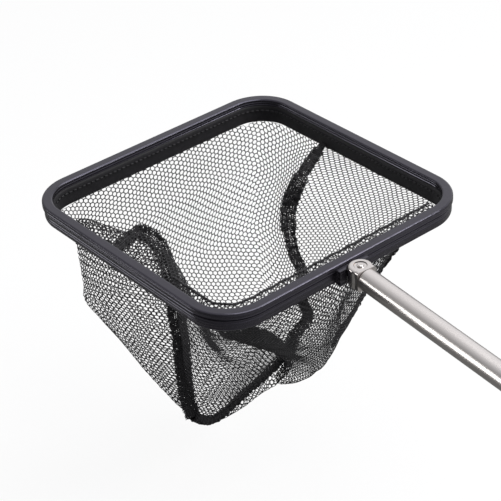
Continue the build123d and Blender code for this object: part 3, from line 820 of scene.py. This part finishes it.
# %% Lines round the rim
def rim_loop(half, corner, step):
    """Points round a rounded square, about a step apart, and the direction out of it at each."""
    side, arc = 2 * (half - corner), corner * math.pi / 2
    count = round((side + arc) / step)
    run = np.arange(count) * (side + arc) / count
    shift = np.minimum(run, side) - side / 2
    bend = np.maximum(run - side, 0) / corner
    points, outward = [], []
    for quarter in range(4):
        start = quarter * math.pi / 2
        straight = np.array((math.cos(start), math.sin(start)))
        ahead = np.array((-math.sin(start), math.cos(start)))
        out = np.stack([np.cos(start + bend), np.sin(start + bend)], 1)
        points.append(straight * (half - corner) + ahead * shift[:, None] + corner * out)
        outward.append(out)
    return np.concatenate(points), np.concatenate(outward)


def rounded_profile(profile, count):
    """Even points along a smooth line through a profile, and its length."""
    line, length = even_line([(x, z, 0) for x, z in profile], count)
    return line[:, :2], length


def carried(profile, points, outward):
    """Rows of points, one for each of the profile's, carried along points and their directions."""
    return np.stack([
        np.concatenate([points - outward * inwards, np.full((len(points), 1), z)], axis=1)
        for inwards, z in profile
    ])


# %% [markdown]
# The rings grip the bag's hem: the netting's edge folded several times and stitched, which looks
# like an opaque black band. Laying so many folds of netting would only make it solid, so it is a
# plain grid of faces, moved onto the hem's surface. Where it hangs free it gets small waves.

# %% The hem's band
HEM_FACE = 61.0        # inner side of the lower ring, from the rim's centre
HEM_CORNER = 15.3
HEM_STEP = 0.7
HEM_PROFILE = (        # inwards from there, and z
    (-3.1, -3.0), (-1.6, -3.0), (-0.2, -3.02), (0.35, -3.3), (0.5, -4.0), (0.55, -5.2),
    (0.45, -6.4), (0.45, -7.8), (0.5, -9.3), (0.45, -10.8),
)
HEM_ROWS = 24
CLAMP_BOTTOM = -3.4    # the hem hangs free below it
FREE_DEPTH = 3.0       # over which its waves grow to their full depth
HEM_WAVE = 0.16
WAVE_SIZES = Vector((5, 5, 4))

loop, loop_out = rim_loop(HEM_FACE, HEM_CORNER, HEM_STEP)
hem_profile, hem_width = rounded_profile(HEM_PROFILE, HEM_ROWS)
closed, closed_out = (np.concatenate([rows, rows[:1]]) for rows in (loop, loop_out))
hem_grid = carried(hem_profile, closed, closed_out)

hem_mesh = bmesh.new()
bmesh.ops.create_grid(hem_mesh, x_segments=len(closed) - 1, y_segments=HEM_ROWS - 1, size=1)
for vertex in hem_mesh.verts:
    column = round((vertex.co.x + 1) / 2 * (len(closed) - 1))
    row = round((vertex.co.y + 1) / 2 * (HEM_ROWS - 1))
    (x, y), z = closed[column], hem_grid[row, column, 2]
    hangs = max(0.0, min(1.0, (CLAMP_BOTTOM - z) / FREE_DEPTH))
    waves = noise.noise(Vector([a / size for a, size in zip((x, y, z), WAVE_SIZES)]))
    inwards = hem_profile[row, 0] + HEM_WAVE * hangs * (1 + waves)
    vertex.co = (x - closed_out[column, 0] * inwards, y - closed_out[column, 1] * inwards, z)
bmesh.ops.remove_doubles(hem_mesh, verts=hem_mesh.verts, dist=MERGE_SHARE * HEM_STEP)
hem_area = yarn_area(hem_mesh)

# %% [markdown]
# Near the handle the hem's raw edge stands out of the clamp as a short strip of netting. It follows
# the rim from a little before the near corner to the far end of the handle's side, so it is laid on
# a profile too.

# %% Its raw edge
RAW_PROFILE = ((0.4, -3.0), (1.2, -2.95), (2.2, -2.2), (3.2, -1.4), (4.1, -1.1))
RAW_ROWS = 8
RAW_STARTS = 25.0      # along the rim's left side, and where it ends on the handle's
RAW_ENDS = 50.0
RAW_CELL = 0.85        # of the usual cell
RAW_YARN = 0.42
RAW_WAVE = 3.0         # crumpling of the raw edge, in mm
RAW_WAVE_DEPTH = 0.35

near = np.nonzero((loop[:, 0] >= RAW_STARTS) & (loop[:, 1] < RAW_ENDS))[0]
near = np.concatenate([near[near > len(loop) // 2], near[near <= len(loop) // 2]])
raw_profile, raw_width = rounded_profile(RAW_PROFILE, RAW_ROWS)
raw_grid = carried(raw_profile, loop[near], loop_out[near])
raw_run = along_rows(raw_grid, 0)
raw_run *= raw_run[0, -1] / raw_run[:, -1:]
raw_length = raw_run[0, -1]


def inside_raw_edge(x, y):
    """Says whether a cell's middle lies within the strip's width."""
    return 0 <= y <= raw_width


raw_edge, raw_cells = flat_netting(0, raw_length, raw_width, inside_raw_edge, RAW_CELL, RAW_YARN)
hem_area += yarn_area(raw_edge)
lay(raw_edge, raw_grid, raw_run, raw_width)
crumple(raw_edge, RAW_WAVE, RAW_WAVE_DEPTH)
join(hem_mesh, raw_edge)
print("raw edge", raw_cells, "cells, width", round(raw_width, 1), "length", round(raw_length))

# %% [markdown]
# A row of stitches runs round the hem, and a chain of overlock stitches closes its raw edge. Each
# is under two millimetres long. Thread bent into loops would be hundreds of small curves, so one
# ball with few faces, stretched and turned, serves for all of them.

# %% Stitches
STITCH_HEIGHT = -5.2
STITCH_STEP = 2.3
STITCH_DEPTH = 1.0                  # inwards from the hem's face
STITCH_SIZE = (0.28, 0.85, 0.3)     # half sizes out of the rim, along it and up
CHAIN_STEP = 1.0
CHAIN_SIZE = (0.42, 0.85, 0.4)
CHAIN_LEAN = 0.55                   # turn of each chain stitch, to one side and the other
CHAIN_SAG = (0.2, 0.7)              # mm, and radians a stitch


def stitch(place, out, size, lean=0.0):
    """The move that brings a ball to a stitch's place, facing out of the rim, at its size."""
    turn = Matrix.Rotation(math.atan2(out[1], out[0]) + lean, 4, "Z")
    return Matrix.Translation(place) @ turn @ Matrix.Diagonal((*size, 1))


stitch_loop = rim_loop(HEM_FACE - STITCH_DEPTH, HEM_CORNER - STITCH_DEPTH, STITCH_STEP)
stitches = [stitch((*place, STITCH_HEIGHT), out, STITCH_SIZE) for place, out in zip(*stitch_loop)]
sag, sag_pace = CHAIN_SAG
for link in range(int(raw_length / CHAIN_STEP)):
    here = link * CHAIN_STEP
    x, y, z = (float(np.interp(here, raw_run[-1], raw_grid[-1, :, axis])) for axis in range(3))
    out = [float(np.interp(here, raw_run[-1], loop_out[near][:, axis])) for axis in range(2)]
    lean = CHAIN_LEAN if link % 2 else -CHAIN_LEAN
    stitches.append(stitch((x, y, z + sag * math.sin(link * sag_pace)), out, CHAIN_SIZE, lean))

ball = bmesh.new()
bmesh.ops.create_uvsphere(ball, u_segments=8, v_segments=6, radius=1)
for move in stitches:
    copy = ball.copy()
    copy.transform(move)
    join(hem_mesh, copy)
ball.free()
print("stitches", len(stitches))

# %% [markdown]
# The band, its raw edge and the stitches are one piece of cloth on the real net, so they become one
# object.

# %% The hem in one piece
hem = yarn_piece("hem_band", hem_mesh)
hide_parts("net_hem")
